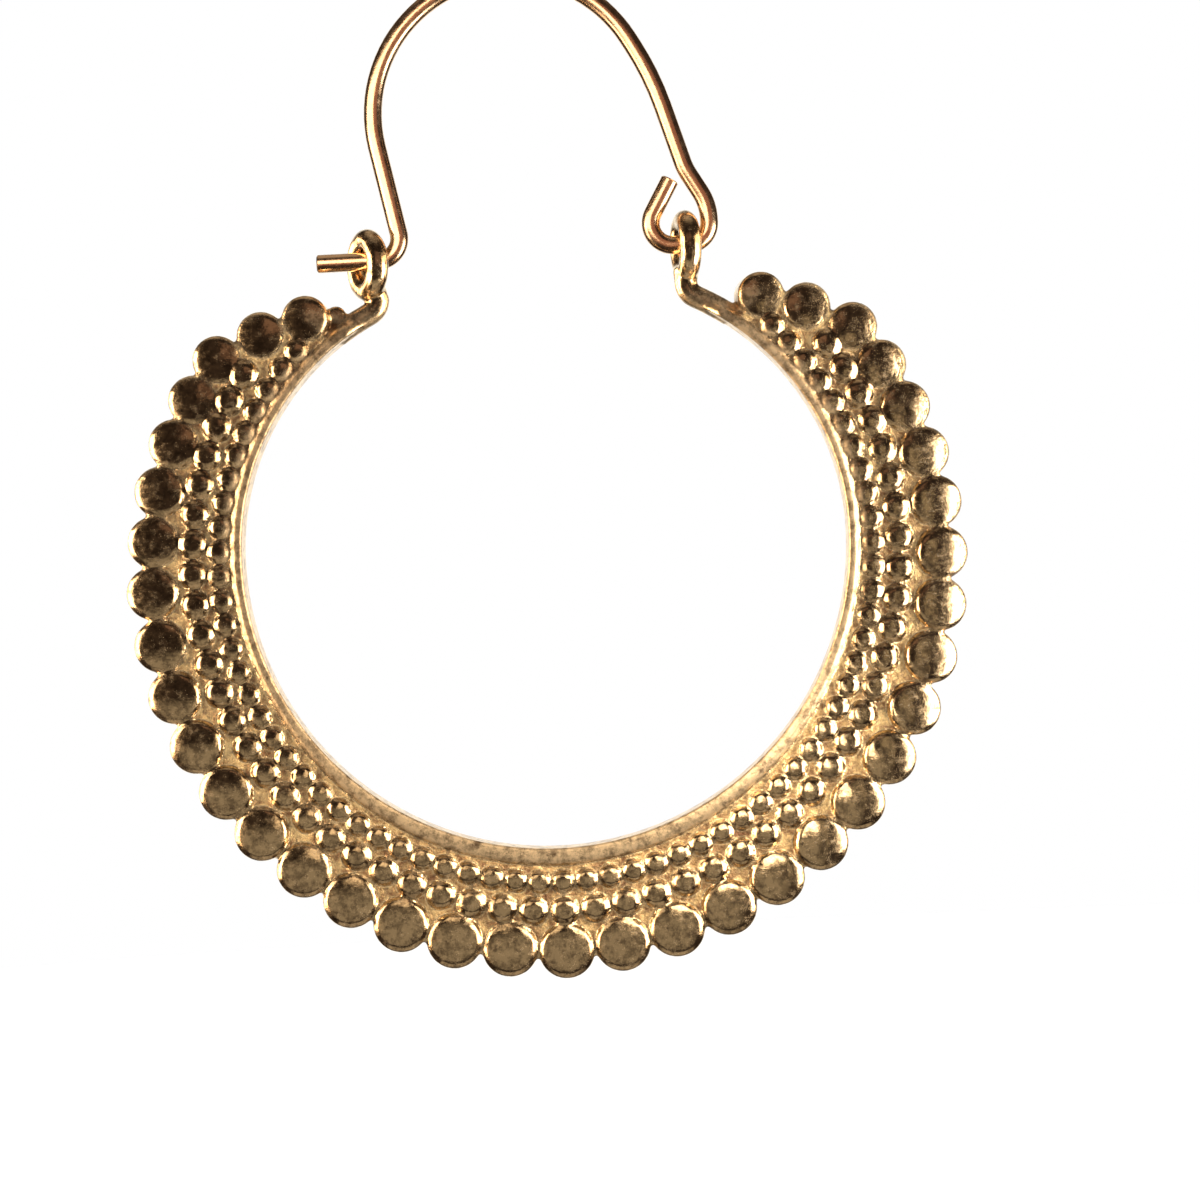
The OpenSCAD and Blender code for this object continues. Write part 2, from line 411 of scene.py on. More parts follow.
def end_wire(s, side, eye_x, eye_up, eye_r, eye_wire_d):
    """The round wire past the rim's end, bent up into the neck that widens into the eye."""
    upper_r = s.rim_r - s.rim_close
    start = s.rim_end - END_WIRE_LAP
    widening = END_WIRE_LAP / 4
    piece = added("end_wire", bpy.ops.mesh.primitive_circle_add, vertices=28, fill_type="NGON",
                  radius=s.end_wire_d / 2 * TAPER_END, rotation=(0, -start, 0),
                  location=(s.rim_close + upper_r * cos(start), 0, upper_r * sin(start) - s.rim_sag))
    centre = (s.rim_close, 0, -s.rim_sag)
    with editing(piece):
        bpy.ops.mesh.select_all(action="SELECT")
        bpy.ops.mesh.spin(steps=1, angle=widening, center=centre, axis=(0, 1, 0))
        bpy.ops.transform.resize(value=(1 / TAPER_END, 1 / TAPER_END, 1 / TAPER_END))
        bpy.ops.mesh.spin(steps=10, angle=s.end_wire_to - start - widening, center=centre, axis=(0, 1, 0))
        outwards = s.rim_close + (upper_r + s.neck_bend_r) * cos(s.end_wire_to)
        up = (upper_r + s.neck_bend_r) * sin(s.end_wire_to) - s.rim_sag
        bpy.ops.mesh.spin(steps=10, angle=-s.end_wire_to, center=(outwards, 0, up), axis=(0, 1, 0))
        neck = Vector((NECK_LEAN * (eye_x - outwards + s.neck_bend_r), 0, eye_up - eye_r - up))
        wider = (NECK_SWELL * eye_wire_d / s.end_wire_d) ** (1 / NECK_STEPS)
        for _ in range(NECK_STEPS):
            bpy.ops.mesh.extrude_region_move(TRANSFORM_OT_translate={"value": neck / NECK_STEPS})
            bpy.ops.transform.resize(value=(wider, wider, 1))
        for lift, narrower in NECK_DOME:
            bpy.ops.mesh.extrude_region_move(TRANSFORM_OT_translate={"value": (0, 0, lift * eye_wire_d)})
            bpy.ops.transform.resize(value=(narrower, narrower, 1))
    if side < 0:
        applied(piece, "MIRROR", use_axis=(True, False, False))
        with editing(piece):
            select("verts", lambda v: v.co.x > 0)
            bpy.ops.mesh.delete(type="VERT")
    with editing(piece):
        close_and_turn_out()
    return piece


def plate(s):
    """A crescent between the rim's centreline and a line just outside the balls' centres."""
    angles = [ball_angle(i) for i in range(s.balls_per_side + 1)]
    centres = [ball_at_r(s, i) for i in range(s.balls_per_side + 1)]
    piece = added("plate", bpy.ops.mesh.primitive_circle_add, vertices=PLATE_SIDES, radius=s.ball_row_r,
                  rotation=(pi / 2, 0, 0))

    def angle_of(place):
        return math.atan2(place.x, -place.z)

    with editing(piece):
        mesh = bmesh.from_edit_mesh(piece.data)
        for v in mesh.verts:
            v.co = around(np.interp(abs(angle_of(v.co)), angles, centres) + s.web_out, angle_of(v.co))
        bmesh.update_edit_mesh(piece.data)
        bpy.ops.mesh.select_all(action="SELECT")
        bpy.ops.mesh.extrude_region_move()
        mesh = bmesh.from_edit_mesh(piece.data)
        for v in mesh.verts:
            if v.select:
                v.co = around(rim_at_r(s, angle_of(v.co)), angle_of(v.co))
        bmesh.update_edit_mesh(piece.data)
        select("faces", lambda f: abs(angle_of(f.calc_center_median())) > angles[-1])
        bpy.ops.mesh.delete(type="FACE")
    applied(piece, "SOLIDIFY", thickness=s.plate_t, offset=0)
    with editing(piece):
        close_and_turn_out()
    return piece


def ball(d, flank):
    """A ball with a low dome to the front and the back, a rounded shoulder and a straight flank between."""
    dome, shoulder = BALL_ROUNDNESS * d, BALL_SHOULDER * d
    edge = math.asin((d / 2 - shoulder) / (dome - shoulder))
    piece = added("ball", bpy.ops.mesh.primitive_uv_sphere_add, segments=48, ring_count=72, radius=1,
                  rotation=(pi / 2, 0, 0))
    with editing(piece):
        mesh = bmesh.from_edit_mesh(piece.data)
        for v in mesh.verts:
            tilt = math.asin(min(1, math.hypot(v.co.x, v.co.z)))
            r, height = shoulder * sin(tilt), shoulder * cos(tilt) + flank / 2
            if tilt < edge:
                r, height = dome * sin(tilt), height + (dome - shoulder) * (cos(tilt) - cos(edge))
            else:
                r += (dome - shoulder) * sin(edge)
            way = Vector((v.co.x, 0, v.co.z)).normalized() * r
            v.co = way + Vector((0, math.copysign(height, v.co.y) if abs(v.co.y) > 0.001 else 0, 0))
        bmesh.update_edit_mesh(piece.data)
        close_and_turn_out()
    return piece


def granule(d):
    """A granule of the front face, its top worn a little flat."""
    piece = added("granule", bpy.ops.mesh.primitive_uv_sphere_add, segments=40, ring_count=40, radius=d / 2,
                  rotation=(pi / 2, 0, 0))
    worn = GRANULE_WORN_PAST * d
    with editing(piece):
        select("verts", lambda v: v.co.y < -worn)
        bpy.ops.transform.resize(value=(1, GRANULE_WEAR, 1), center_override=(0, -worn, 0))
    return piece


def border(s):
    """The border of balls, each a little out of true."""
    hand = random.Random(7)
    model = ball(s.ball_d, s.ball_flank)
    parts = [model]
    for i in range(-s.balls_per_side, s.balls_per_side + 1):
        size = 1 - s.ball_shrink / s.ball_d * (i / s.balls_per_side) ** 2
        lean = [hand.uniform(-s.hand_tilt, s.hand_tilt) for _ in "xz"]
        outwards = s.right_turn * max(0, sin(ball_angle(i))) ** 2
        place = around(ball_at_r(s, i), ball_angle(i))
        parts.append(copied(model, place, (lean[0], 0, lean[1] + outwards), size))
    parts.append(ball(END_GRANULE_D, s.ball_flank * END_GRANULE_D / s.ball_d))
    parts[-1].location = around(END_GRANULE_R, END_GRANULE_ANGLE)
    bpy.data.objects.remove(parts.pop(0))
    return parts


def granule_rows(s):
    """Two rows of granules on the front face and the same on the back."""
    parts = []
    rows = [
        (s.outer_granule_d, s.outer_lift, OUTER_GRANULES_PER_SIDE, lambda i: i * OUTER_PITCH,
         s.outer_row_r, OUTER_ROW_FALL, 2),
        (s.inner_granule_d, s.inner_lift, INNER_GRANULES_PER_SIDE,
         lambda i: math.copysign(INNER_PITCH * abs(i) + INNER_PITCH_RISE * i ** 2, i),
         s.inner_row_r, INNER_ROW_FALL, 3),
    ]
    for d, lift, per_side, angle_at, bottom_r, fall, power in rows:
        model = granule(d)
        for i in range(-per_side, per_side + 1):
            a = angle_at(i)
            x, _, z = around(row_r(bottom_r, fall, power, a), a)
            for side in (-1, 1):
                parts.append(copied(model, (x, side * lift, z), (0, -a, 0)))
                parts[-1].scale = (GRANULE_STRETCH, -side, 1)
        bpy.data.objects.remove(model)
    return parts


def eye(x, eye_up, turn, eye_r, eye_wire_d):
    """A ring whose hole faces along x, bent from wire and worn thinner at its top."""
    piece = added("eye", bpy.ops.mesh.primitive_torus_add, major_radius=eye_r, minor_radius=eye_wire_d / 2,
                  major_segments=56, minor_segments=24, rotation=(0, pi / 2, 0))
    with editing(piece):
        select("verts", lambda v: v.co.z > eye_r)
        bpy.ops.transform.resize(value=(EYE_TOP_WEAR, 1, 1), center_override=(0, 0, eye_r))
        bpy.ops.mesh.select_all(action="SELECT")
        flatter = min(1, EYE_HALF_DEPTH / (eye_r * cos(turn) + eye_wire_d / 2))
        bpy.ops.transform.resize(value=(1, flatter, 1), center_override=(0, 0, 0))
    piece.location = (x, 0, eye_up)
    piece.rotation_euler = (0, 0, turn)
    return piece


def edge_arrays(mesh):
    """The two ends of every edge, as two arrays of point numbers."""
    ends = np.zeros(len(mesh.edges) * 2, np.int32)
    mesh.edges.foreach_get("vertices", ends)
    return ends.reshape(-1, 2).T


def smoothed(values, ends, rounds):
    """Averages a value per point with its neighbours' along the mesh's edges."""
    start, stop = ends
    count = np.bincount(np.concatenate([start, stop]), minlength=len(values)).astype(float)
    count = count.reshape(-1, *[1] * (values.ndim - 1))
    for _ in range(rounds):
        total = np.zeros_like(values)
        np.add.at(total, start, values[stop])
        np.add.at(total, stop, values[start])
        values = (values + total / count) / 2
    return values


def ramp(fade, values):
    """0 up to the fade's low end, 1 from its high end on, and smooth between."""
    low, high = fade
    t = np.clip((values - low) / (high - low), 0, 1)
    return t * t * (3 - 2 * t)


def mark_surface(piece, s):
    """Marks each point, from 0 to 1, as lying in a hollow, on the cast ground and on the rim.

    Hollow runs from 0 on the crests to 1 in the creases.
    """
    mesh = piece.data
    places = np.zeros(len(mesh.vertices) * 3)
    normals = np.zeros(len(mesh.vertices) * 3)
    mesh.vertices.foreach_get("co", places)
    mesh.vertices.foreach_get("normal", normals)
    places, normals = places.reshape(-1, 3), normals.reshape(-1, 3)
    ends = edge_arrays(mesh)
    depth = ((smoothed(places, ends, 10) - places) * normals).sum(1)
    x, y, z = places.T
    height = np.abs(y)
    from_bottom = np.arctan2(x, -z)
    past_rim = np.abs(from_bottom) > ball_angle(s.balls_per_side)
    inside_by = np.array([rim_at_r(s, a) for a in from_bottom]) - np.hypot(x, z)
    within = 1 - ramp(RIM_SIDE_FADE, np.abs(inside_by) - s.rim_w / 2)
    raised = ramp(RIM_TOP_FADE, height - s.rim_depth / 2)
    wall = ramp(RIM_WALL_FADE, inside_by)
    end_wires = END_WIRE_SATIN * (1 - ramp(NECK_FADE, z - s.eye_up))
    on_rim = np.where(past_rim, end_wires, within * np.maximum(raised, wall))
    low = 1 - ramp(GROUND_FADE, height - s.plate_t / 2)
    facing = ramp(FACING_FADE, np.abs(normals[:, 1]))
    marks = {
        # Hollow drives the darkening of the creases: tarnish, with painted shade over it.
        "hollow": np.clip(0.5 + smoothed(depth, ends, 2) / HOLLOW_RANGE, 0, 1),
        "ground": smoothed(low * facing * (1 - on_rim) * ~past_rim, ends, 1),
        "rim": smoothed(on_rim, ends, 1),
    }
    for name, values in marks.items():
        mesh.attributes.new(name, "FLOAT", "POINT").data.foreach_set("value", values.astype(np.float32))


class EARRING_OT_hoop(bpy.types.Operator):
    """Models the cast hoop: rim, plate, granules, balls and eyes, fused into one casting"""

    bl_idname = "earring.hoop"
    bl_label = "Cast hoop"

    def execute(self, context):
        s = millimetres(context.scene.hoop_sizes)
        left_eye_up = s.eye_up - s.left_eye_drop
        parts = [
            rim(s),
            plate(s),
            end_wire(s, -1, s.left_eye_x, left_eye_up, s.left_eye_r, s.left_eye_wire_d),
            end_wire(s, 1, s.right_eye_x, s.eye_up, s.right_eye_r, s.right_eye_wire_d),
            eye(-s.left_eye_x, left_eye_up, s.left_eye_turn, s.left_eye_r, s.left_eye_wire_d),
            eye(s.right_eye_x, s.eye_up, s.right_eye_turn, s.right_eye_r, s.right_eye_wire_d),
        ]
        piece = joined(HOOP_PIECE, parts + border(s) + granule_rows(s))
        applied(piece, "REMESH", mode="VOXEL", voxel_size=s.grain, use_smooth_shade=True)
        applied(piece, "SMOOTH", factor=0.5, iterations=4)
        triangles = 2 * len(piece.data.polygons)
        if triangles > TRIANGLE_LIMIT:
            applied(piece, "DECIMATE", ratio=TRIANGLE_LIMIT / triangles)
        mark_surface(piece, s)
        brought_home(piece, hoop_centre_z())
        bpy.ops.object.shade_smooth()
        piece.data.materials.clear()
        piece.data.materials.append(antique_brass(context.scene.brass_colours))
        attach(piece, "hoop")
        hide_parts("hoop")
        return {"FINISHED"}


# The ear wire

# Heading of the straight leg, after the first three bends, and the number of bends to the hook's bottom.
LEG_HEADING = radians(-73.5)
HOOK_BOTTOM = 6
WIRE_BURR = 0.06


def wire_bends(s, leg):
    """The wire from the catch's tip to the hook's tip, with a straight leg of that length."""
    return [
        Bend(s.catch_len, 1.05, 101),
        Bend(4.24, s.arch_r, -161),
        Bend(0.4, 14, -13.5),
        Bend(leg, 2.5, 13.5),
        Bend(1.05, 2.6, -30),
        Bend(0.15, 1.01, -90),
        Bend(0.72, 1.05, -120),
        Bend(1.8, 0, 0),
    ]


def rise(bends):
    """How far the wire climbs along these bends, starting level."""
    up, heading = 0, 0
    for bend in bends:
        turn = radians(bend.turn)
        up += bend.straight * sin(heading)
        up += math.copysign(bend.radius, turn) * (cos(heading) - cos(heading + turn))
        heading += turn
    return up


def bent_wire(s, eye_up):
    """The round wire, extruded along its straights and spun round its bends, with both ends filed round."""
    leg = rise(wire_bends(s, 0)[:HOOK_BOTTOM]) / sin(-LEG_HEADING)
    at = np.array([-s.tip_x, eye_up + s.hang_gap])
    heading = 0
    wider = s.wire_d / (s.wire_d - 2 * WIRE_BURR)
    piece = added(WIRE_PIECE, bpy.ops.mesh.primitive_circle_add, vertices=32, fill_type="NGON",
                  radius=s.wire_d / 2 - WIRE_BURR, location=(at[0], 0, at[1]), rotation=(0, pi / 2, 0))
    with editing(piece):
        bpy.ops.mesh.select_all(action="SELECT")
        bpy.ops.mesh.extrude_region_move(TRANSFORM_OT_translate={"value": (WIRE_BURR, 0, 0)})
        bpy.ops.transform.resize(value=(wider, wider, wider))
        done = WIRE_BURR
        for bend in wire_bends(s, leg):
            step = np.array([cos(heading), sin(heading)])
            last = bend.turn == 0
            run = bend.straight - done - (WIRE_BURR if last else 0)
            bpy.ops.mesh.extrude_region_move(
                TRANSFORM_OT_translate={"value": (run * step[0], 0, run * step[1])})
            at = at + bend.straight * step
            done = 0
            if last:
                bpy.ops.mesh.extrude_region_move(
                    TRANSFORM_OT_translate={"value": (WIRE_BURR * step[0], 0, WIRE_BURR * step[1])})
                bpy.ops.transform.resize(value=(1 / wider, 1 / wider, 1 / wider))
                break
            turn = radians(bend.turn)
            side = math.copysign(bend.radius, turn)
            centre = at + side * np.array([-step[1], step[0]])
            bpy.ops.mesh.spin(steps=max(4, round(abs(bend.turn) / 4)), angle=turn,
                              center=(centre[0], 0, centre[1]), axis=(0, 1, 0))
            heading += turn
            at = centre - side * np.array([-sin(heading), cos(heading)])
        close_and_turn_out()
    return piece


class EARRING_OT_ear_wire(bpy.types.Operator):
    """Bends the ear wire: a straight catch, the arch through the ear lobe and an open hook"""

    bl_idname = "earring.ear_wire"
    bl_label = "Ear wire"

    def execute(self, context):
        eye_up = millimetres(context.scene.hoop_sizes).eye_up
        piece = bent_wire(millimetres(context.scene.ear_wire_sizes), eye_up)
        brought_home(piece, hoop_centre_z())
        bpy.ops.object.shade_smooth_by_angle(angle=radians(40))
        piece.data.materials.clear()
        piece.data.materials.append(bright_brass(context.scene.brass_colours))
        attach(piece, "wire")
        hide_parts("ear_wire")
        return {"FINISHED"}


# Finishes

# Each layer of scratches: its turn in the hoop's plane, in radians, and its cells per metre along x, y and z.
SCRATCH_LAYERS = ((0.7, (1300, 1300, 6500)), (2.3, (1500, 1500, 7500)))
# Roughness where the surface is clean and where it is smudged, and what a scratch adds.
TOPS_ROUGHNESS = (0.12, 0.28)
WIRE_ROUGHNESS = (0.18, 0.32)
SCRATCH_ROUGHNESS = 0.07
RIM_ROUGHNESS = 0.42
GROUND_ROUGHNESS = 0.38
# How metallic the smudged tops, the rim and the ground are under their film of dirt.
SMUDGED_METALLIC = 0.96
RIM_METALLIC = 0.88
GROUND_METALLIC = 0.4


def put(tree, kind, **settings):
    """Adds a node. Settings that begin with in_ are values or sources of its sockets, by name or number."""
    node = tree.nodes.new(kind)
    for name, value in settings.items():
        if not name.startswith("in_"):
            setattr(node, name, value)
            continue
        key = name[3:].replace("_", " ")
        socket = node.inputs[int(key) if key.isdigit() else key]
        if isinstance(value, bpy.types.NodeSocket):
            tree.links.new(value, socket)
        else:
            socket.default_value = value
    return node


def noise(tree, scale, detail, roughness, where=None):
    """Noise that is fixed to the piece, its scale in cells per metre."""
    where = where or put(tree, "ShaderNodeTexCoord").outputs["Object"]
    return put(tree, "ShaderNodeTexNoise", in_Vector=where, in_Scale=scale, in_Detail=detail,
               in_Roughness=roughness).outputs["Fac"]


def spread(tree, value, low, high, to_low=0.0, to_high=1.0):
    """Spreads the values from low to high over the new range, and holds those outside at its ends."""
    return put(tree, "ShaderNodeMapRange", in_Value=value, in_From_Min=low, in_From_Max=high,
               in_To_Min=to_low, in_To_Max=to_high).outputs["Result"]


def mixed(tree, kind, factor, a, b):
    """Mixes two values, vectors or colours, from a to b."""
    return put(tree, "ShaderNodeMix", data_type=kind, in_Factor=factor, in_A=a, in_B=b).outputs["Result"]


def worked(tree, operation, *values, clamp=False):
    """Works out a value from other values and sources."""
    sockets = {f"in_{number}": value for number, value in enumerate(values)}
    return put(tree, "ShaderNodeMath", operation=operation, use_clamp=clamp, **sockets).outputs["Value"]


def bumped(tree, height, strength, distance, below=None, invert=False):
    """The surface's normals with a bump of that distance in millimetres, over the bump below it, if any."""
    bump = put(tree, "ShaderNodeBump", invert=invert, in_Height=height, in_Strength=strength,
               in_Distance=distance * MM)
    if below:
        tree.links.new(below, bump.inputs["Normal"])
    return bump.outputs["Normal"]


def effect(name, takes, gives):
    """A new shader node group with its sockets, its tree and its two end nodes."""
    tree = bpy.data.node_groups.new(name, "ShaderNodeTree")
    for label, default in takes:
        kind = "NodeSocketColor" if isinstance(default, tuple) else "NodeSocketFloat"
        tree.interface.new_socket(label, in_out="INPUT", socket_type=kind).default_value = default
    for label, kind in gives:
        tree.interface.new_socket(label, in_out="OUTPUT", socket_type=kind)
    return tree, tree.nodes.new("NodeGroupInput"), tree.nodes.new("NodeGroupOutput")


def wear_effect():
    """Fine handling scratches in two directions, and soft smudges."""
    name = "Handling wear"
    if name in bpy.data.node_groups:
        return bpy.data.node_groups[name]
    tree, start, end = effect(
        name, [("Scale", 1.0)], [("Scratch", "NodeSocketFloat"), ("Smudge", "NodeSocketFloat")])
    where = put(tree, "ShaderNodeTexCoord").outputs["Object"]
    layers = []
    for turn, cells in SCRATCH_LAYERS:
        turned = put(tree, "ShaderNodeMapping", in_Vector=where, in_Rotation=(0, turn, 0), in_Scale=cells)
        lines = noise(tree, scale=start.outputs["Scale"], detail=2, roughness=0.6,
                      where=turned.outputs["Vector"])
        layers.append(spread(tree, lines, 0.56, 0.72))
    smudge = noise(tree, scale=2600, detail=5, roughness=0.65)
    tree.links.new(worked(tree, "MAXIMUM", *layers), end.inputs["Scratch"])
    tree.links.new(spread(tree, smudge, 0.38, 0.66), end.inputs["Smudge"])
    return tree


def tarnish_effect():
    """Mixes a darker colour over clean metal by its depth and amount, broken up by noise: tarnish and stains,
    and in the casting's creases painted shade as well.
    """
    name = "Tarnish"
    if name in bpy.data.node_groups:
        return bpy.data.node_groups[name]
    tree, start, end = effect(
        name,
        [("Clean", (1.0, 1.0, 1.0, 1.0)), ("Tarnish", (0.0, 0.0, 0.0, 1.0)), ("Depth", 0.0), ("Amount", 0.5)],
        [("Color", "NodeSocketColor")])
    given = start.outputs
    broken = spread(tree, noise(tree, scale=2600, detail=5, roughness=0.6), 0.3, 0.7, 0.45, 1)
    deep = worked(tree, "MULTIPLY", broken, given["Depth"])
    mask = worked(tree, "MULTIPLY", deep, given["Amount"], clamp=True)
    tree.links.new(mixed(tree, "RGBA", mask, given["Clean"], given["Tarnish"]), end.inputs["Color"])
    return tree


def rgba(values):
    return (*values, 1.0)


def handled(tree):
    """The scratches and smudges of a finish."""
    return put(tree, "ShaderNodeGroup", node_tree=wear_effect(), in_Scale=1.0).outputs


def tarnished(tree, clean, tarnish, depth, amount):
    """A colour under a darker one: tarnish and stains, and in the casting's creases painted shade as well."""
    return put(tree, "ShaderNodeGroup", node_tree=tarnish_effect(), in_Clean=clean, in_Tarnish=rgba(tarnish),
               in_Depth=depth, in_Amount=amount).outputs["Color"]


def new_finish(name):
    """A material with an empty tree."""
    material = bpy.data.materials.new(name)
    material.use_nodes = True
    material.node_tree.nodes.clear()
    return material, material.node_tree


def shaded(tree, **sockets):
    """Ends a material's tree with its shader."""
    shader = put(tree, "ShaderNodeBsdfPrincipled", **sockets)
    put(tree, "ShaderNodeOutputMaterial", in_Surface=shader.outputs["BSDF"])


def antique_brass(colours):
    """Cast brass: worn, mottled tops over a rough golden ground, with brown tarnish and painted shade in the
    creases.
    """
    material, tree = new_finish("antique_brass")
    hollow, ground, on_rim = (put(tree, "ShaderNodeAttribute", attribute_name=name).outputs["Fac"]
                              for name in ("hollow", "ground", "rim"))
    wear = handled(tree)

    base = mixed(tree, "RGBA", ground, rgba(colours.polished), rgba(colours.golden))
    stains = spread(tree, noise(tree, scale=1900, detail=8, roughness=0.78), 0.45, 0.59)
    stained = tarnished(tree, base, colours.stain, stains, amount=1)
    # Painted shade: the creases darken with their depth, over the brown tarnish that the casting has in its
    # hollows.
    creases = spread(tree, hollow, 0.66, 0.88)
    aged_and_shaded = tarnished(tree, stained, colours.tarnish, creases, amount=0.9)

    smudged = spread(tree, wear["Smudge"], 0, 1, *TOPS_ROUGHNESS)
    scuffed = worked(tree, "MULTIPLY_ADD", wear["Scratch"], SCRATCH_ROUGHNESS, smudged)
    satin = mixed(tree, "FLOAT", on_rim, scuffed, RIM_ROUGHNESS)
    roughness = mixed(tree, "FLOAT", ground, satin, GROUND_ROUGHNESS)
    film = spread(tree, wear["Smudge"], 0.5, 1, 1, SMUDGED_METALLIC)
    satin_film = mixed(tree, "FLOAT", on_rim, film, RIM_METALLIC)
    metallic = mixed(tree, "FLOAT", ground, satin_film, GROUND_METALLIC)

    pits = worked(tree, "MULTIPLY", noise(tree, scale=3300, detail=3, roughness=0.55), ground)
    grit = worked(tree, "MULTIPLY", noise(tree, scale=9000, detail=2, roughness=0.5), on_rim)
    dents = noise(tree, scale=2200, detail=3, roughness=0.55)
    normal = bumped(tree, pits, strength=1, distance=0.3)
    normal = bumped(tree, grit, strength=0.6, distance=0.03, below=normal)
    normal = bumped(tree, dents, strength=0.35, distance=0.05, below=normal)
    normal = bumped(tree, wear["Scratch"], strength=0.12, distance=0.012, below=normal, invert=True)
    shaded(tree, in_Base_Color=aged_and_shaded, in_Roughness=roughness, in_Metallic=metallic, in_Normal=normal)
    return material


def bright_brass(colours):
    """Drawn brass wire, brighter than the casting, with light wear and a little brown in patches."""
    material, tree = new_finish("bright_brass")
    wear = handled(tree)
    patches = spread(tree, noise(tree, scale=420, detail=4, roughness=0.6), 0.48, 0.75)
    aged_and_shaded = tarnished(tree, rgba(colours.wire), colours.tarnish, patches, amount=0.3)
    roughness = spread(tree, wear["Smudge"], 0, 1, *WIRE_ROUGHNESS)
    normal = bumped(tree, wear["Scratch"], strength=0.15, distance=0.012, invert=True)
    shaded(tree, in_Metallic=1.0, in_Base_Color=aged_and_shaded, in_Roughness=roughness, in_Normal=normal)
    return material


# The studio

LOBES = (
    # direction, tint, wide angle, narrow angle
    ((0, 1, 0), (1.3, 1.3, 1.25), 46, 25),
    ((0, 0.2, 1), (0.4, 0.32, 0.24), 40, 15),
)
DARK_ROOM = (0.031, 0.021, 0.0165)
FLOOR_LIGHT = (1.25, 1.25, 1.25)
BACKDROP = (1, 1, 1)
FLOOR_R = 0.7
FLOOR_PAINT = (0.93, 0.93, 0.92, 1)

SOFT_LIGHTS = {
    # place, aim, width and height, colour, and what it falls on; z is over the hoop's centre
    "right_panel": ((43, -13, -6), (19, 0, -4), (26, 40), (5.6, 5.1, 4.5), ()),
    "right_panel_edge": ((42, -14.2, -6), (19, 0, -4), (29, 40), (1.0, 0.85, 0.65), ()),
    "left_panel": ((-50, -14, 4), (-19, 0, 0), (24, 40), (3.9, 3.05, 2.2), ()),
    "right_side": ((150, -13, 8), (0, 0, 0), (205, 130), (3.6, 2.6, 1.6), (HOOP_PIECE,)),
    "left_side": ((-150, 8, 8), (0, 0, 0), (200, 130), (6.6, 4.6, 2.8), (HOOP_PIECE,)),
    "low_front": ((-9, -22, -23.5), (-9, 0, -23.5), (58, 29), (0.133, 0.117, 0.09), (HOOP_PIECE,)),
    "lower_front": ((-9, -22.5, -25), (-9, 0, -25), (50, 24), (0.133, 0.117, 0.09), (HOOP_PIECE,)),
    "left_of_bottom": ((-7, -11, -7), (2, 0, -18), (9, 9), (1.1, 0.88, 0.62), (HOOP_PIECE,)),
    "right_of_bottom": ((8, -11, -8), (-2, 0, -18), (11, 9), (4.4, 3.7, 2.8), (HOOP_PIECE,)),
    "right_front": ((18, -22, -6), (18, 0, -6), (8, 26), (0.26, 0.22, 0.155), (HOOP_PIECE,)),
    "floor_glow": ((0, -5, -150), (0, 0, -19), (200, 150), (0.36, 0.31, 0.24), (HOOP_PIECE,)),
    "eye_front": ((0, -30, 23), (0, 0, 23), (28, 20), (0.17, 0.1, 0.07), (HOOP_PIECE,)),
    "ear_wire_front": ((6, -60, 20), (6, 0, 20), (120, 70), (0.30, 0.13, 0.085), (WIRE_PIECE,)),
    "ear_wire_panel": ((-28, -36, 26), (4, 0, 22), (70, 30), (3.2, 2.6, 2.0), (WIRE_PIECE,)),
}


def lobe(tree, direction, tint, wide, narrow):
    """Light of one tint from round a direction, none past the wide angle and full within the narrow one."""
    where = put(tree, "ShaderNodeTexCoord").outputs["Generated"]
    size = sqrt(sum(x * x for x in direction))
    dot = put(tree, "ShaderNodeVectorMath", operation="DOT_PRODUCT", in_0=where,
              in_1=[x / size for x in direction])
    fade = put(tree, "ShaderNodeMapRange", interpolation_type="SMOOTHSTEP", in_Value=dot.outputs["Value"],
               in_From_Min=cos(radians(wide)), in_From_Max=cos(radians(narrow)))
    return put(tree, "ShaderNodeVectorMath", operation="SCALE", in_0=tint,
               in_Scale=fade.outputs["Result"]).outputs["Vector"]


def studio_world():
    """A dark room with a bright wall behind and a weak light above, and a white backdrop for the camera."""
    world = bpy.data.worlds.new("studio")
    bpy.context.scene.world = world
    world.use_nodes = True
    tree = world.node_tree
    tree.nodes.clear()
    total = DARK_ROOM
    for row in LOBES:
        total = put(tree, "ShaderNodeVectorMath", operation="ADD", in_0=total,
                    in_1=lobe(tree, *row)).outputs["Vector"]
    ray = put(tree, "ShaderNodeLightPath").outputs
    soft = mixed(tree, "VECTOR", ray["Is Diffuse Ray"], total, FLOOR_LIGHT)
    seen = mixed(tree, "VECTOR", ray["Is Camera Ray"], soft, BACKDROP)
    background = put(tree, "ShaderNodeBackground", in_Color=seen)
    put(tree, "ShaderNodeOutputWorld", in_Surface=background.outputs["Background"])


def soft_light(name, place, aim, size, radiance, only):
    """A rectangular soft light that the camera doesn't see, falling on the given pieces only, if any."""
    data = bpy.data.lights.new(name, "AREA")
    data.shape = "RECTANGLE"
    data.size, data.size_y = size[0] * MM, size[1] * MM
    strength = max(radiance)
    data.energy = strength * data.size * data.size_y * pi
    data.color = [value / strength for value in radiance]
    light = bpy.data.objects.new(name, data)
    bpy.context.scene.collection.objects.link(light)
    at = np.array(place, float) * MM
    light.location = at
    light.rotation_mode = "QUATERNION"
    light.rotation_quaternion = Vector(np.array(aim, float) * MM - at).to_track_quat("-Z", "Y")
    light.visible_camera = False
    if only:
        light.light_linking.receiver_collection = bpy.data.collections.new(name)
        for piece in only:
            light.light_linking.receiver_collection.objects.link(bpy.data.objects[piece])


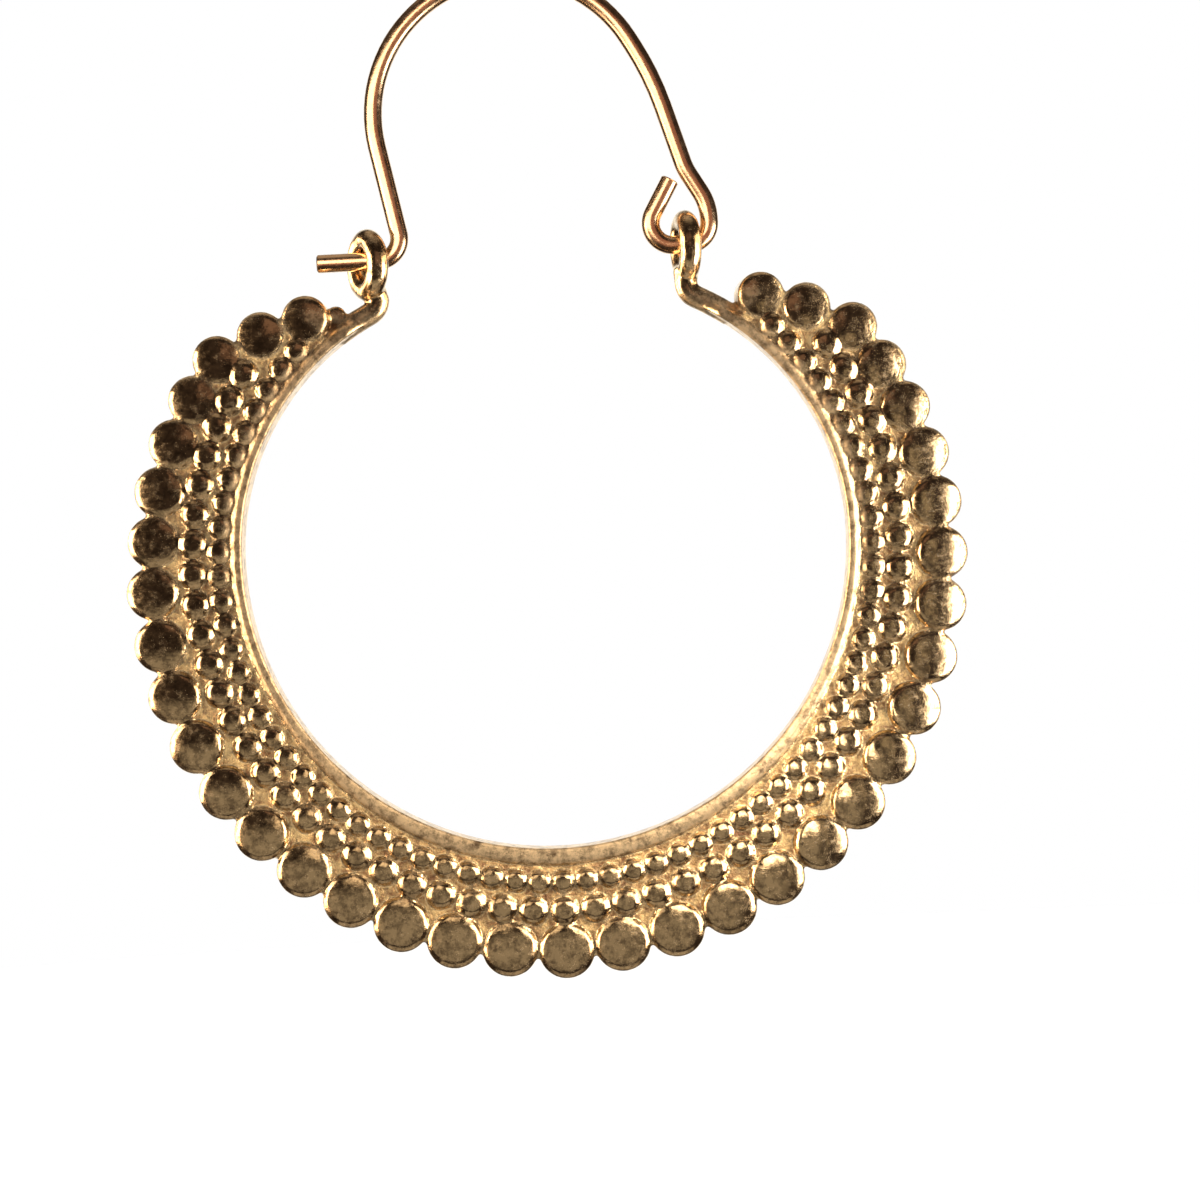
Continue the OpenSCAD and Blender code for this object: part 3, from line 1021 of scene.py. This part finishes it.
class EARRING_OT_stage(bpy.types.Operator):
    """Sets up the plain floor, the soft lights and the camera at the picture's angle"""

    bl_idname = "earring.stage"
    bl_label = "Studio"

    def execute(self, context):
        s = context.scene.studio_sizes
        centre = hoop_centre_z() / MM
        floor = added("floor", bpy.ops.mesh.primitive_circle_add, vertices=96, radius=FLOOR_R,
                      fill_type="NGON", location=(0, 0, -s.floor_depth))
        material, tree = new_finish("pale_floor")
        shaded(tree, in_Base_Color=FLOOR_PAINT, in_Roughness=0.9)
        floor.data.materials.append(material)
        floor.visible_glossy = False
        studio_world()
        for name, (place, aim, *rest) in SOFT_LIGHTS.items():
            place, aim = ((x, y, z + centre) for x, y, z in (place, aim))
            soft_light(name, place, aim, *rest)
        camera = bpy.data.objects.new("camera", bpy.data.cameras.new("camera"))
        context.scene.collection.objects.link(camera)
        camera.location = (s.picture_right, -s.distance, centre * MM - s.picture_down)
        camera.rotation_euler = (pi / 2, s.lean, 0)
        camera.data.sensor_width = SENSOR_MM
        camera.data.lens = SENSOR_MM * s.distance / (PICTURE_PX * MM_PER_PX * MM)
        camera.data.clip_start, camera.data.clip_end = 0.01, 10
        context.scene.camera = camera
        context.scene.view_settings.view_transform = "Standard"
        return {"FINISHED"}


class EARRING_PT_panel(bpy.types.Panel):
    """Lists the earring's sizes, colours and steps"""

    bl_idname = "EARRING_PT_panel"
    bl_label = "Hoop earring"
    bl_space_type = "VIEW_3D"
    bl_region_type = "UI"
    bl_category = "Earring"

    def draw(self, context):
        for operator in OPERATORS:
            self.layout.operator(operator.bl_idname)
        for name, group in GROUPS.items():
            box = self.layout.box()
            box.label(text=group.__doc__)
            for prop in group.__annotations__:
                box.prop(getattr(context.scene, name), prop)


OPERATORS = (EARRING_OT_hoop, EARRING_OT_ear_wire, EARRING_OT_stage)
CLASSES = (*GROUPS.values(), *OPERATORS, EARRING_PT_panel)


def register():
    for cls in CLASSES:
        bpy.utils.register_class(cls)
    for name, group in GROUPS.items():
        setattr(bpy.types.Scene, name, PointerProperty(type=group))


def unregister():
    for name in GROUPS:
        delattr(bpy.types.Scene, name)
    for cls in reversed(CLASSES):
        bpy.utils.unregister_class(cls)


def main():
    register()
    bpy.ops.earring.hoop()
    bpy.ops.earring.ear_wire()
    bpy.ops.earring.stage()


if __name__ == "__main__":
    main()
